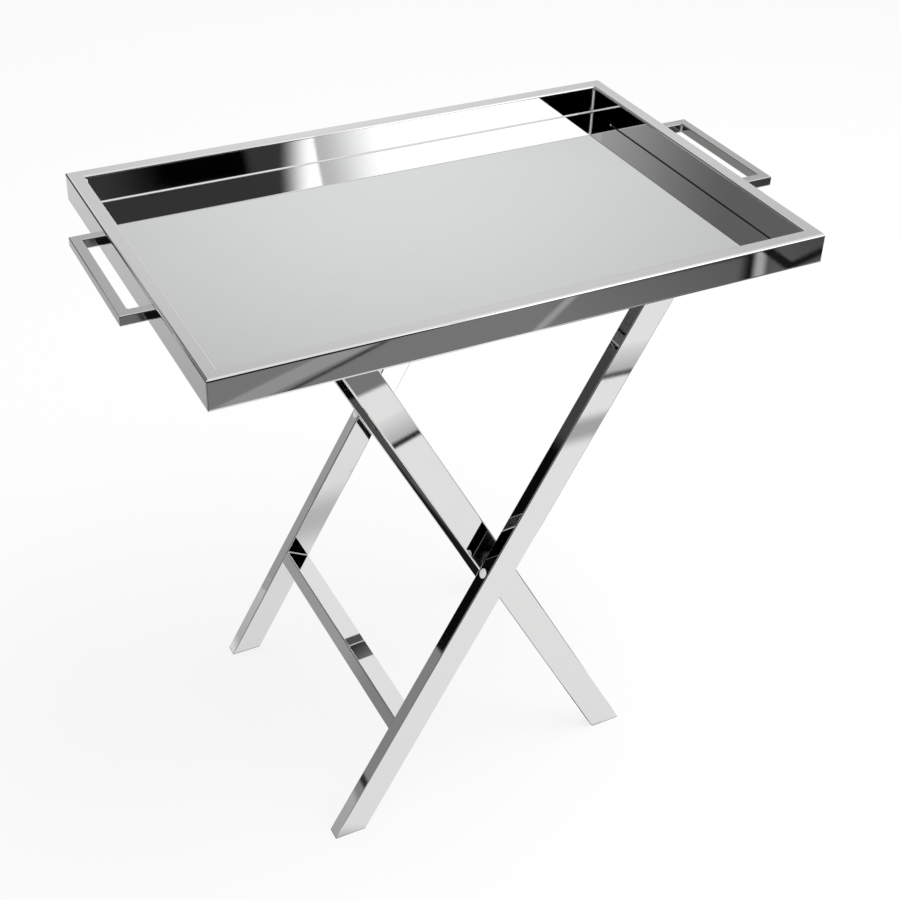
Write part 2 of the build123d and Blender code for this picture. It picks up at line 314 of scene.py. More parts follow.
def use_group(tree, name, vector, **values):
    """Places a shared group in a material. The group is built the first time that it is needed."""
    group = bpy.data.node_groups.get(name) or GROUP_MAKERS[name]()
    node = set_inputs(add_node(tree, "ShaderNodeGroup", node_tree=group), **values)
    tree.links.new(vector, node.inputs["Vector"])
    return node


def start_material(name, turn=LENGTHWISE_X):
    """An empty material. Returns it, its tree, its shader, and coordinates turned to run along the piece."""
    material = bpy.data.materials.new(name)
    material.use_nodes = True
    tree = material.node_tree
    shader = tree.nodes["Principled BSDF"]
    place = add_node(tree, "ShaderNodeTexCoord")
    turned = add_node(tree, "ShaderNodeMapping", vector_type="TEXTURE")
    set_inputs(turned, Rotation=turn)
    tree.links.new(place.outputs["Object"], turned.inputs["Vector"])
    return material, tree, shader, turned.outputs["Vector"]


def tint(tree, shader, colour, mask, darkest):
    """Lets a mask darken the base colour down to a share of it."""
    mix = add_node(tree, "ShaderNodeMix", data_type="RGBA")
    mix.inputs["A"].default_value = (*colour, 1.0)
    mix.inputs["B"].default_value = (*(channel * darkest for channel in colour), 1.0)
    tree.links.new(mask, mix.inputs["Factor"])
    tree.links.new(mix.outputs["Result"], shader.inputs["Base Color"])


def bump(tree, height, distance):
    """A bump of a real depth."""
    node = set_inputs(add_node(tree, "ShaderNodeBump"), Strength=1.0, Distance=distance)
    tree.links.new(height, node.inputs["Height"])
    return node.outputs["Normal"]


# Finishes
# Border, start and end of the painted shade in the gap where the inner legs turn on the outer legs, as shares of
# the tube's thickness
GAP_SHADE_BORDER = 0.04
GAP_SHADE_START = 0.02
GAP_SHADE_END = 0.06


def polished_steel(name, colour, turn, finishes, wave, wave_depth, roughness):
    """Polished steel with slow waves, faint polishing lines along the piece, and hand marks."""
    material, tree, shader, vector = start_material(name, turn)
    set_inputs(shader, Metallic=1.0)
    lines = use_group(tree, "polishing_lines", vector, Length=finishes.line_length,
                      Pitch=finishes.line_pitch).outputs["Height"]
    smudge = use_group(tree, "hand_smudges", vector, Size=finishes.smudge_size).outputs["Mask"]
    waves = use_group(tree, "slow_waves", vector, Length=wave).outputs["Height"]
    tint(tree, shader, colour, smudge, finishes.smudge_tone)
    haze = calculate(tree, "MULTIPLY", smudge, finishes.smudge_roughness)
    # The lines' height averages a half, so twice the roughness gives the mean that is asked for
    grain = calculate(tree, "MULTIPLY", lines, roughness * 2)
    tree.links.new(calculate(tree, "ADD", haze, grain), shader.inputs["Roughness"])
    tree.links.new(bump(tree, waves, wave_depth), shader.inputs["Normal"])
    return material


def tube_steel(name, turn, finishes):
    """Polished tube whose polishing lines run along it."""
    return polished_steel(name, finishes.steel, turn, finishes, finishes.tube_wave, finishes.tube_wave_depth,
                          finishes.steel_roughness)


def handle_steel(name, turn, finishes):
    """Bar polished by hand, less bright than the tubes."""
    return polished_steel(name, finishes.handle, turn, finishes, finishes.tube_wave, finishes.tube_wave_depth,
                          finishes.handle_roughness)


def blend_input(tree, shader, name, mask, below):
    """Lets a mask swap what feeds a shader input for a plain value where the mask is 0."""
    target = shader.inputs[name]
    is_colour = target.type == "RGBA"
    mix = add_node(tree, "ShaderNodeMix", data_type="RGBA" if is_colour else "FLOAT")
    sockets = {socket.identifier: socket for socket in mix.inputs}
    kind = "Color" if is_colour else "Float"
    sockets[f"A_{kind}"].default_value = (*below, 1.0) if is_colour else below
    if target.is_linked:
        tree.links.new(target.links[0].from_socket, sockets[f"B_{kind}"])
    else:
        sockets[f"B_{kind}"].default_value = target.default_value
    tree.links.new(mask, sockets["Factor_Float"])
    result = next(socket for socket in mix.outputs if socket.identifier == f"Result_{kind}")
    tree.links.new(result, target)


def mirror_sheet(finishes):
    """Mirror sheet that is polished on top and dull underneath."""
    material = polished_steel("mirror_sheet", finishes.sheet, LENGTHWISE_X, finishes, finishes.sheet_wave,
                              finishes.sheet_wave_depth, finishes.sheet_roughness)
    tree = material.node_tree
    shader = tree.nodes["Principled BSDF"]
    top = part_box("tray_floor")[1].z
    place = add_node(tree, "ShaderNodeTexCoord")
    split = add_node(tree, "ShaderNodeSeparateXYZ")
    tree.links.new(place.outputs["Object"], split.inputs["Vector"])
    polished = ramp_between(tree, split.outputs["Z"], middle("tray_floor").z, top)
    blend_input(tree, shader, "Base Color", polished, finishes.underside)
    blend_input(tree, shader, "Metallic", polished, 0.0)
    blend_input(tree, shader, "Roughness", polished, finishes.underside_roughness)
    return material


def outer_leg_steel(finishes):
    """Tube of the outer legs, with painted shade where the inner legs turn on it: near black and rough on the
    faces in the gap between the legs.
    """
    material = tube_steel("polished_outer_leg", ALONG_OUTER_LEG, finishes)
    tree = material.node_tree
    shader = tree.nodes["Principled BSDF"]
    low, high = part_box("outer_leg_back")
    thick = high.y - low.y
    place = add_node(tree, "ShaderNodeTexCoord")
    turned = add_node(tree, "ShaderNodeMapping", vector_type="TEXTURE")
    set_inputs(turned, Location=PIVOT, Rotation=ALONG_INNER_LEG)
    tree.links.new(place.outputs["Object"], turned.inputs["Vector"])
    size = add_node(tree, "ShaderNodeVectorMath", operation="ABSOLUTE")
    tree.links.new(turned.outputs["Vector"], size.inputs[0])
    split = add_node(tree, "ShaderNodeSeparateXYZ")
    tree.links.new(size.outputs["Vector"], split.inputs["Vector"])
    # Painted shade: within the inner leg's width, the outer leg's face in the gap turns near black and rough.
    beside = ramp_between(tree, split.outputs["Z"], (1 - GAP_SHADE_BORDER) * thick, (1 + GAP_SHADE_BORDER) * thick)
    outside = ramp_between(tree, split.outputs["Y"], low.y + GAP_SHADE_START * thick, low.y + GAP_SHADE_END * thick)
    polished = calculate(tree, "MAXIMUM", beside, outside)
    blend_input(tree, shader, "Base Color", polished, finishes.pivot_gap_shade)
    blend_input(tree, shader, "Roughness", polished, finishes.pivot_gap_shade_roughness)
    return material


def grained_finish(name, colour, *, metallic, roughness, spread, grain, depth, darkest):
    """Moulded plastic, rubber or plated steel: fine grain, and a cloudy tone and roughness."""
    material, tree, shader, vector = start_material(name)
    set_inputs(shader, Metallic=metallic)
    surface = use_group(tree, "moulded_grain", vector, Grain=grain)
    tint(tree, shader, colour, surface.outputs["Cloud"], darkest)
    cloudy = calculate(tree, "MULTIPLY", surface.outputs["Cloud"], spread)
    tree.links.new(calculate(tree, "ADD", cloudy, roughness - spread / 2), shader.inputs["Roughness"])
    tree.links.new(bump(tree, surface.outputs["Height"], depth), shader.inputs["Normal"])
    return material


def dress(material, *nodes):
    """Puts a finish on solids."""
    for node in nodes:
        frame["nodes"][node].material_slots[0].material = material


# Weld beads
MERGE_DISTANCE = 1e-6
SHARP_ANGLE = math.radians(40)
ARC_STEPS = 6
CUTS_PER_RIPPLE = 2
FEWEST_CUTS = 4
BEAD_END = 0.35  # share of its leg that a bead still has at its ends
TUBE_WIDTHS = 2  # width of the stand's tube, in thicknesses


def build_object(name, shape, material):
    """Turns a finished bmesh into an object with one material."""
    mesh = bpy.data.meshes.new(name)
    shape.to_mesh(mesh)
    shape.free()
    mesh.materials.append(material)
    built = bpy.data.objects.new(name, mesh)
    bpy.context.scene.collection.objects.link(built)
    return built


def bead_mesh(bead, length, leg, welds):
    """Adds a bead to a bmesh: a concave fillet between walls along local X and Y, drawn out along local Z."""
    rim = bead.verts.new((leg, 0, 0))
    last = bmesh.ops.spin(bead, geom=[rim], cent=(leg, leg, 0), axis=(0, 0, -1), angle=QUARTER_TURN,
                          steps=ARC_STEPS)["geom_last"][0]
    root = bead.verts.new((0, 0, 0))
    bead.edges.new((last, root))
    bead.edges.new((root, rim))
    section = bmesh.ops.contextual_create(bead, geom=bead.edges[:])["faces"]
    grown = bmesh.ops.extrude_face_region(bead, geom=section)["geom"]
    far = [part for part in grown if isinstance(part, bmesh.types.BMVert)]
    bmesh.ops.translate(bead, verts=far, vec=(0, 0, length))
    upright = [edge for edge in bead.edges if abs(edge.verts[0].co.z - edge.verts[1].co.z) > length / 2]
    cuts = max(FEWEST_CUTS, round(length / welds.ripple_pitch) * CUTS_PER_RIPPLE)
    bmesh.ops.subdivide_edges(bead, edges=upright, cuts=cuts)
    for vert in bead.verts:
        ripple = noise.noise(Vector((0, 0, vert.co.z / welds.ripple_pitch)))
        run_out = min(1.0, BEAD_END + min(vert.co.z, length - vert.co.z) / leg)
        vert.co.xy *= run_out * (1 + welds.ripple * ripple)
    bmesh.ops.recalc_face_normals(bead, faces=bead.faces[:])


def seam_section(seam, wall, foot, welds):
    """Adds the seam's section to a bmesh, in the XZ plane: it fills the rail's rounded lower edge flush with
    the wall and ends in a small bevel on the sheet."""
    edge, leg = welds.rail_edge, welds.floor_seam
    rim = seam.verts.new((wall - leg, 0, foot))
    crest = seam.verts.new((wall, 0, foot + leg))
    top = seam.verts.new((wall, 0, foot + edge))
    seam.edges.new((rim, crest))
    seam.edges.new((crest, top))
    heel = bmesh.ops.spin(seam, geom=[top], cent=(wall + edge, 0, foot + edge), axis=(0, -1, 0),
                          angle=QUARTER_TURN, steps=ARC_STEPS)["geom_last"][0]
    seam.edges.new((heel, rim))


def close_ring(ring):
    """Carries a section, which lies in the mitre plane of one corner, round the four sides of the tray."""
    loop = ring.edges[:]
    for flip in ((-1, 1, 1), (1, -1, 1), (-1, 1, 1), (1, -1, 1)):
        grown = bmesh.ops.extrude_edge_only(ring, edges=loop)["geom"]
        corners = [part for part in grown if isinstance(part, bmesh.types.BMVert)]
        loop = [part for part in grown if isinstance(part, bmesh.types.BMEdge)
                and all(vert in corners for vert in part.verts)]
        bmesh.ops.scale(ring, vec=flip, verts=corners)
    bmesh.ops.remove_doubles(ring, verts=ring.verts[:], dist=MERGE_DISTANCE)
    bmesh.ops.recalc_face_normals(ring, faces=ring.faces[:])


def add_piece(name, shape, finish, body):
    """Turns a finished bmesh into a piece that rides on a body of the table."""
    for face in shape.faces:
        face.smooth = True
    piece = build_object(name, shape, finish)
    piece.data.set_sharp_from_angle(angle=SHARP_ANGLE)
    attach(piece, body)


def add_beads(name, places, leg, welds, finish, body):
    """One piece of several beads. A place is a matrix and a length."""
    whole = bmesh.new()
    mesh = bpy.data.meshes.new("bead")
    for place, length in places:
        bead = bmesh.new()
        bead_mesh(bead, length, leg, welds)
        bmesh.ops.transform(bead, matrix=place, verts=bead.verts[:])
        bead.to_mesh(mesh)
        bead.free()
        whole.from_mesh(mesh)
    bpy.data.meshes.remove(mesh)
    add_piece(name, whole, finish, body)


def upright_bead(x, y, z, quarter_turns, length):
    """A bead in an upright corner, with the corner opening turned by quarters from +X +Y."""
    return Matrix.Translation((x, y, z)) @ Matrix.Rotation(quarter_turns * QUARTER_TURN, 4, "Z"), length


def level_bead(origin, along_x, along_y, length):
    """A bead along the line where two walls meet, centred on the origin. Each wall is given by its run."""
    along_x, along_y = Vector(along_x).normalized(), Vector(along_y).normalized()
    turn = Matrix((along_x, along_y, along_x.cross(along_y))).transposed().to_4x4()
    return Matrix.Translation(origin) @ turn @ Matrix.Translation((0, 0, -length / 2)), length


# Studio
# Upright cards stand round the table at an azimuth in degrees, 0 at the front and positive towards +X.
# Floor cards lie in layers, each a little above the last. A fade is the soft border of a card, in metres.
Card = namedtuple("Card", "name azimuth width distance low high tilt tone"
                          " left_fade right_fade low_fade high_fade")
FloorCard = namedtuple("FloorCard", "name x y width depth turn tone_front tone_back fade")

UPRIGHT_CARDS = (
    Card("front_wall", -17.1, 5.0, 2.7, 0.0, 3.4, 0.0, 0.06, 0.3, 0.2, 0.01, 0.3),
    Card("front_drape", -17.1, 4.32, 2.65, 0.0, 2.0, 0.0, 0.012, 0.3, 0.2, 0.01, 0.06),
    Card("drape_fold", 13.76, 0.519, 2.9, 1.95, 2.135, -7.0, 0.0, 0.26, 0.035, 0.02, 0.015),
    Card("front_left_wall", -36.0, 3.6, 2.5, 0.9, 2.9, 0.0, 0.5, 0.6, 0.4, 0.25, 0.4),
    Card("camera_drape", -26.5, 1.15, 1.9, 1.15, 2.75, 0.0, 0.0, 0.35, 0.35, 0.28, 0.4),
    Card("low_drape", -43.0, 0.5, 1.95, 0.12, 0.6, 0.0, 0.0, 0.1, 0.1, 0.03, 0.1),
    Card("softbox", 34.3, 1.274, 2.6, 0.85, 3.3, 0.0, 1.95, 0.11, 0.2, 0.2, 0.2),
    Card("softbox_base", 38.8, 1.516, 2.6, 0.0, 0.88, 0.0, 0.0, 0.2, 0.25, 0.01, 0.05),
    Card("scrim", 26.42, 0.216, 2.5, 0.85, 3.3, -10.0, 0.86, 0.012, 0.205, 0.2, 0.2),
    Card("right_flag", 84.0, 0.9, 2.6, 0.0, 2.2, 0.0, 0.12, 0.3, 0.3, 0.01, 0.4),
    Card("backdrop", 152.0, 3.6, 3.0, 0.9, 3.8, 0.0, 0.575, 0.6, 0.6, 0.5, 1.0),
    Card("backdrop_glow", 155.0, 4.0, 2.8, 1.31, 3.26, 0.0, 0.94, 2.0, 2.0, 0.57, 1.38),
    Card("back_left_wall", -152.0, 1.5, 3.1, 0.9, 2.8, 0.0, 0.66, 0.35, 0.35, 0.4, 0.3),
    Card("back_left_canopy", -160.0, 1.3, 3.4, 2.4, 3.4, 0.0, 0.1, 0.2, 0.2, 0.2, 0.2),
    Card("ceiling_flag", -162.0, 3.4, 3.42, 2.95, 4.85, 0.0, 0.08, 0.2, 0.2, 0.2, 0.3),
    Card("seam_flag", -154.1, 1.16, 2.6, 2.29, 2.57, 49.4, 0.02, 0.04, 0.04, 0.05, 0.05),
    Card("back_left_shade", -137.5, 1.95, 3.0, 0.9, 3.6, 0.0, 0.2, 0.65, 0.3, 0.4, 0.4),
    Card("back_left_skirting", -157.0, 1.55, 2.9, 0.0, 1.3, 0.0, 0.03, 0.1, 0.1, 0.01, 0.15),
    Card("back_left_drape", -128.5, 1.0, 2.7, 0.0, 0.66, 0.0, 0.004, 0.1, 0.1, 0.01, 0.06),
    Card("back_left_drape_top", -128.5, 1.0, 2.72, 0.55, 1.1, 0.0, 0.065, 0.1, 0.1, 0.01, 0.2),
    Card("left_wall", -90.0, 3.4, 2.6, 0.0, 1.6, 0.0, 0.22, 0.3, 0.3, 0.01, 0.3),
)
FLOOR_CARDS = (
    FloorCard("front_floor", -0.15, -2.11, 6.0, 2.6, -16.0, 0.24, 0.24, 0.012),
    FloorCard("front_floor_right", 0.95, -2.0, 2.02, 0.8, -90.0, 0.23, 0.04, 0.03),
    FloorCard("arm_shade", -0.041, -1.09, 0.013, 0.04, 0.0, 0.02, 0.02, 0.003),
    FloorCard("top_dark", 0.86, -1.128, 0.36, 0.046, 1.5, 0.02, 0.02, 0.01),
    FloorCard("pale_band", 0.114, -1.0755, 0.7, 0.036, -18.6, 0.38, 0.38, 0.006),
    FloorCard("band_edge", 0.189, -1.0755, 0.6, 0.012, -20.0, 0.06, 0.06, 0.005),
    FloorCard("pale_streak", 0.5715, -1.0755, 0.3, 0.019, -33.5, 0.42, 0.42, 0.007),
    FloorCard("bar_shadow", 0.9735, -1.074, 0.25, 0.062, -50.0, 0.01, 0.01, 0.024),
    FloorCard("pale_bar", 0.985, -1.074, 0.25, 0.032, -50.0, 0.5, 0.5, 0.014),
    FloorCard("fold_slope", 1.028, -1.083, 0.036, 0.074, 0.0, 0.01, 0.01, 0.01),
    FloorCard("dark_fold", 1.0735, -1.0585, 0.13, 0.028, -14.0, 0.01, 0.01, 0.011),
    FloorCard("fold_top", 1.1, -1.121, 0.16, 0.026, 0.0, 0.02, 0.02, 0.01),
    FloorCard("edge_floor", 0.66, -0.015, 0.83, 0.7, -90.0, 0.25, 0.13, 0.03),
    FloorCard("edge_floor_near", 0.728, -0.646, 0.6, 0.3, -40.0, 0.15, 0.15, 0.02),
    FloorCard("edge_floor_middle", 0.375, -0.85, 0.21, 0.16, 0.0, 0.21, 0.21, 0.02),
    FloorCard("white_card", 0.262, -0.312, 0.09, 0.085, 0.0, 1.43, 1.43, 0.008),
    FloorCard("inner_crease", 0.2, -0.765, 0.4, 0.065, -20.0, 1.0, 0.5, 0.01),
    FloorCard("inner_crease_line", 0.205, -0.734, 0.4, 0.02, -19.0, 0.03, 0.03, 0.008),
    FloorCard("outer_crease", 0.605, -0.832, 0.16, 0.08, 5.0, 1.0, 0.5, 0.012),
    FloorCard("outer_crease_line", 0.57, -0.798, 0.16, 0.024, 4.0, 0.12, 0.12, 0.011),
    FloorCard("outer_crease_low", 0.445, -0.693, 0.24, 0.075, 0.0, 0.5, 0.5, 0.03),
    # Painted shadow: the next five cards paint the shadow of the tray and back leg on the floor under the table,
    # which only the metal sees.
    FloorCard("centre_shade", 0.01, -0.055, 0.2, 0.13, 0.0, 0.62, 0.62, 0.06),
    FloorCard("under_tray_shadow", 0.16, 0.0, 0.14, 0.27, 0.0, 0.13, 0.13, 0.012),
    FloorCard("under_tray_shadow_end", 0.165, 0.115, 0.07, 0.05, 0.0, 0.004, 0.004, 0.01),
    FloorCard("under_tray_shadow_fold", 0.1325, 0.0, 0.06, 0.28, 0.0, 0.012, 0.012, 0.006),
    FloorCard("back_shadow", -0.066, 0.31, 0.12, 0.08, 0.0, 0.14, 0.14, 0.03),
    FloorCard("back_right_floor", 1.6, 1.5, 1.4, 1.4, 0.0, 0.5, 0.5, 0.2),
    FloorCard("far_left_floor", -6.1, 6.92, 2.4, 12.4, 41.0, 0.42, 0.46, 0.1),
    FloorCard("left_floor", -1.756, 0.013, 2.6, 6.0, 15.0, 0.42, 0.42, 0.02),
    FloorCard("left_shade", -1.9, 0.41, 3.2, 1.8, -41.8, 0.29, 0.29, 0.12),
    FloorCard("left_edge", -0.45, 0.1, 0.05, 0.5, 15.0, 0.04, 0.04, 0.02),
    FloorCard("left_near", -0.34, 0.21, 0.24, 0.85, 25.0, 0.47, 0.65, 0.03),
    FloorCard("left_rail_floor", -0.575, 1.05, 0.14, 1.0, 0.0, 0.43, 0.75, 0.03),
    FloorCard("front_cloth", -0.95, -1.45, 1.3, 1.1, 0.0, 0.01, 0.01, 0.05),
)
CARD_LIFT = 0.00002


def card_material(name, tone_low, tone_high, left_share, right_share, low_share, high_share):
    """Plain light of one tone, or of a tone that changes with height, which fades out at the card's edges."""
    material = bpy.data.materials.new(name)
    material.use_nodes = True
    material.cycles.emission_sampling = "NONE"
    tree = material.node_tree
    tree.nodes.remove(tree.nodes["Principled BSDF"])
    place = add_node(tree, "ShaderNodeUVMap")
    edge = use_group(tree, "soft_edge", place.outputs["UV"], Left=left_share, Right=right_share,
                     Low=low_share, High=high_share)
    tone = add_node(tree, "ShaderNodeMix", data_type="RGBA")
    tone.inputs["A"].default_value = (tone_low, tone_low, tone_low, 1.0)
    tone.inputs["B"].default_value = (tone_high, tone_high, tone_high, 1.0)
    tree.links.new(edge.outputs["Height"], tone.inputs["Factor"])
    glow = add_node(tree, "ShaderNodeEmission")
    tree.links.new(tone.outputs["Result"], glow.inputs["Color"])
    mix = add_node(tree, "ShaderNodeMixShader")
    tree.links.new(edge.outputs["Mask"], mix.inputs["Fac"])
    tree.links.new(add_node(tree, "ShaderNodeBsdfTransparent").outputs["BSDF"], mix.inputs[1])
    tree.links.new(glow.outputs["Emission"], mix.inputs[2])
    tree.links.new(mix.outputs["Shader"], tree.nodes["Material Output"].inputs["Surface"])
    return material


def add_card(name, place, width, height, material):
    """A flat card that only reflections see. Its local X is its width and its local Y its height."""
    card = bmesh.new()
    card.loops.layers.uv.new("UVMap")
    shape = Matrix.Diagonal((width, height, 1, 1))
    bmesh.ops.create_grid(card, x_segments=1, y_segments=1, size=0.5, matrix=place @ shape, calc_uvs=True)
    piece = build_object(name, card, material)
    piece.visible_camera = False
    piece.visible_diffuse = False
    piece.visible_shadow = False


def add_upright_card(card):
    """A card that stands round the table and faces it."""
    height = card.high - card.low
    turn = Matrix.Rotation(math.radians(card.azimuth), 4, "Z")
    away = Matrix.Translation((0, -card.distance, (card.low + card.high) / 2))
    upright = Matrix.Rotation(QUARTER_TURN, 4, "X")
    tilt = Matrix.Rotation(math.radians(card.tilt), 4, "Z")
    material = card_material(card.name, card.tone, card.tone, card.left_fade / card.width,
                             card.right_fade / card.width, card.low_fade / height, card.high_fade / height)
    add_card(card.name, turn @ away @ upright @ tilt, card.width, height, material)


def add_floor_card(card, lift):
    """A card that lies on the floor."""
    place = Matrix.Translation((card.x, card.y, lift)) @ Matrix.Rotation(math.radians(card.turn), 4, "Z")
    side_share, end_share = card.fade / card.width, card.fade / card.depth
    material = card_material(card.name, card.tone_front, card.tone_back, side_share, side_share,
                             end_share, end_share)
    add_card(card.name, place, card.width, card.depth, material)


def seen_by_eye_or_mirror(tree):
    """1 for what the camera sees, straight or in metal and glass, and 0 for light on rough surfaces."""
    path = add_node(tree, "ShaderNodeLightPath")
    mirrored = calculate(tree, "MAXIMUM", path.outputs["Is Glossy Ray"], path.outputs["Is Transmission Ray"])
    return calculate(tree, "MAXIMUM", path.outputs["Is Camera Ray"], mirrored)


def add_floor(studio):
    """Pale floor that looks white and keeps the table's shadow. From below it is clear."""
    floor = bmesh.new()
    bmesh.ops.create_grid(floor, x_segments=1, y_segments=1, size=studio.floor_size / 2)
    material = bpy.data.materials.new("studio_floor")
    material.use_nodes = True
    material.cycles.emission_sampling = "NONE"
    tree = material.node_tree
    shader = tree.nodes["Principled BSDF"]
    set_inputs(shader, Base_Color=(*studio.floor, 1.0), Roughness=1.0, Specular_IOR_Level=0.0)
    glow = set_inputs(add_node(tree, "ShaderNodeEmission"), Color=(1, 1, 1, 1), Strength=1.0)
    mix = add_node(tree, "ShaderNodeMixShader")
    away = add_node(tree, "ShaderNodeVectorMath", operation="LENGTH")
    tree.links.new(add_node(tree, "ShaderNodeTexCoord").outputs["Object"], away.inputs[0])
    haze = ramp_between(tree, away.outputs["Value"], studio.floor_near, studio.floor_far)
    whiteness = calculate(tree, "MAXIMUM", haze, studio.floor_glow)
    share = calculate(tree, "MULTIPLY", seen_by_eye_or_mirror(tree), whiteness)
    tree.links.new(share, mix.inputs["Fac"])
    tree.links.new(shader.outputs["BSDF"], mix.inputs[1])
    tree.links.new(glow.outputs["Emission"], mix.inputs[2])
    sided = add_node(tree, "ShaderNodeMixShader")
    tree.links.new(add_node(tree, "ShaderNodeNewGeometry").outputs["Backfacing"], sided.inputs["Fac"])
    tree.links.new(mix.outputs["Shader"], sided.inputs[1])
    tree.links.new(add_node(tree, "ShaderNodeBsdfTransparent").outputs["BSDF"], sided.inputs[2])
    tree.links.new(sided.outputs["Shader"], tree.nodes["Material Output"].inputs["Surface"])
    piece = build_object("studio_floor", floor, material)


def set_world(studio):
    """White surround for the camera and for mirrors, and a plain even light for rough surfaces."""
    world = bpy.data.worlds.new("studio")
    bpy.context.scene.world = world
    world.use_nodes = True
    tree = world.node_tree
    light = tree.nodes["Background"]
    set_inputs(light, Color=(1, 1, 1, 1), Strength=studio.fill)
    white = set_inputs(add_node(tree, "ShaderNodeBackground"), Color=(1, 1, 1, 1), Strength=1.0)
    mix = add_node(tree, "ShaderNodeMixShader")
    tree.links.new(seen_by_eye_or_mirror(tree), mix.inputs["Fac"])
    tree.links.new(light.outputs["Background"], mix.inputs[1])
    tree.links.new(white.outputs["Background"], mix.inputs[2])
    tree.links.new(mix.outputs["Shader"], tree.nodes["World Output"].inputs["Surface"])


def add_key_light(studio):
    """Soft overhead light that gives the floor its shadow. Mirrors see the cards instead."""
    lamp = bpy.data.lights.new("key_light", "AREA")
    lamp.energy = studio.key_power
    lamp.size = studio.key_size
    piece = bpy.data.objects.new("key_light", lamp)
    bpy.context.scene.collection.objects.link(piece)
    place = Vector(studio.key_place)
    piece.location = place
    piece.rotation_mode = "QUATERNION"
    piece.rotation_quaternion = (place - PIVOT).to_track_quat("Z", "Y")
    piece.visible_camera = False
    piece.visible_glossy = False


def add_camera(studio):
    """Camera at the photograph's place and angle."""
    data = bpy.data.cameras.new("camera")
    data.lens = studio.lens
    data.shift_x, data.shift_y = studio.shift
    camera = bpy.data.objects.new("camera", data)
    bpy.context.scene.collection.objects.link(camera)
    level = math.cos(studio.elevation)
    back = Vector((math.sin(studio.azimuth) * level, -math.cos(studio.azimuth) * level,
                   math.sin(studio.elevation)))
    camera.location = studio.camera_place
    camera.rotation_mode = "QUATERNION"
    camera.rotation_quaternion = back.to_track_quat("Z", "Y") @ Quaternion((0, 0, 1), studio.roll)
    bpy.context.scene.camera = camera


# Operators
class TRAYTABLE_OT_tray_rails(bpy.types.Operator):
    """Polish the four rails and the two handles of the tray"""

    bl_idname = "tray_table.tray_rails"
    bl_label = "Polish Tray Rails"

    def execute(self, context):
        finishes = context.scene.tray_table_finishes
        dress(tube_steel("polished_long_rail", LENGTHWISE_X, finishes), "tray_front_rail", "tray_back_rail")
        dress(tube_steel("polished_end_rail", LENGTHWISE_Y, finishes), "tray_left_rail", "tray_right_rail")
        dress(handle_steel("polished_handle", LENGTHWISE_Y, finishes), "handle_left", "handle_right")
        return {"FINISHED"}


class TRAYTABLE_OT_tray_sheet(bpy.types.Operator):
    """Polish the mirror sheet in the tray"""

    bl_idname = "tray_table.tray_sheet"
    bl_label = "Polish Tray Sheet"

    def execute(self, context):
        finishes = context.scene.tray_table_finishes
        dress(mirror_sheet(finishes), "tray_floor")
        return {"FINISHED"}


class TRAYTABLE_OT_stand(bpy.types.Operator):
    """Polish the legs, the stretcher and the top bars"""

    bl_idname = "tray_table.stand"
    bl_label = "Polish Stand"

    def execute(self, context):
        finishes = context.scene.tray_table_finishes
        # The outer legs' finish carries painted shade in the gap at the pivot.
        dress(outer_leg_steel(finishes), "outer_leg_front", "outer_leg_back")
        dress(tube_steel("polished_inner_leg", ALONG_INNER_LEG, finishes),
              "inner_leg_front", "inner_leg_back")
        dress(tube_steel("polished_cross_tube", LENGTHWISE_Y, finishes),
              "outer_stretcher", "outer_top_bar", "inner_top_bar")
        return {"FINISHED"}


class TRAYTABLE_OT_hardware(bpy.types.Operator):
    """Plate the screws, cleats, studs and nuts, and blacken the bolts, washers and collars of the pivot"""

    bl_idname = "tray_table.hardware"
    bl_label = "Plate Hardware"

    def execute(self, context):
        finishes = context.scene.tray_table_finishes
        plating = grained_finish("zinc_plating", finishes.zinc, metallic=1.0, roughness=0.3, spread=0.16,
                                 grain=0.0006, depth=0.000006, darkest=0.8)
        dress(plating, "pivot_blocks", "block_screws", "cleat_left", "cleat_right", "floor_studs",
              "cleat_nuts")
        blackening = grained_finish("blackened_steel", finishes.blackened, metallic=1.0, roughness=0.3,
                                    spread=0.1, grain=0.0004, depth=0.000004, darkest=0.85)
        dress(blackening, "pivot_bolts", "bolt_washers", "pivot_spacers")
        return {"FINISHED"}


class TRAYTABLE_OT_plastics(bpy.types.Operator):
    """Finish the feet, leg caps, bushes, screw caps and rest pads"""

    bl_idname = "tray_table.plastics"
    bl_label = "Finish Plastics"

    def execute(self, context):
        finishes = context.scene.tray_table_finishes
        insert = grained_finish("grey_insert", finishes.insert, metallic=0.0, roughness=0.48, spread=0.14,
                                grain=0.0005, depth=0.00001, darkest=0.9)
        dress(insert, "outer_foot_glides", "inner_foot_glides", "outer_leg_caps", "inner_leg_caps")
        bush = grained_finish("black_bush", finishes.bush, metallic=0.0, roughness=0.42, spread=0.12,
                              grain=0.0005, depth=0.000008, darkest=0.75)
        dress(bush, "pivot_bushes")
        cap = grained_finish("white_cap", finishes.cap, metallic=0.0, roughness=0.2, spread=0.08,
                             grain=0.0008, depth=0.000003, darkest=0.94)
        dress(cap, "screw_caps")
        pad = grained_finish("black_pad", finishes.rubber, metallic=0.0, roughness=0.75, spread=0.16,
                             grain=0.0006, depth=0.00002, darkest=0.7)
        dress(pad, "outer_rest_pads", "inner_rest_pads")
        return {"FINISHED"}


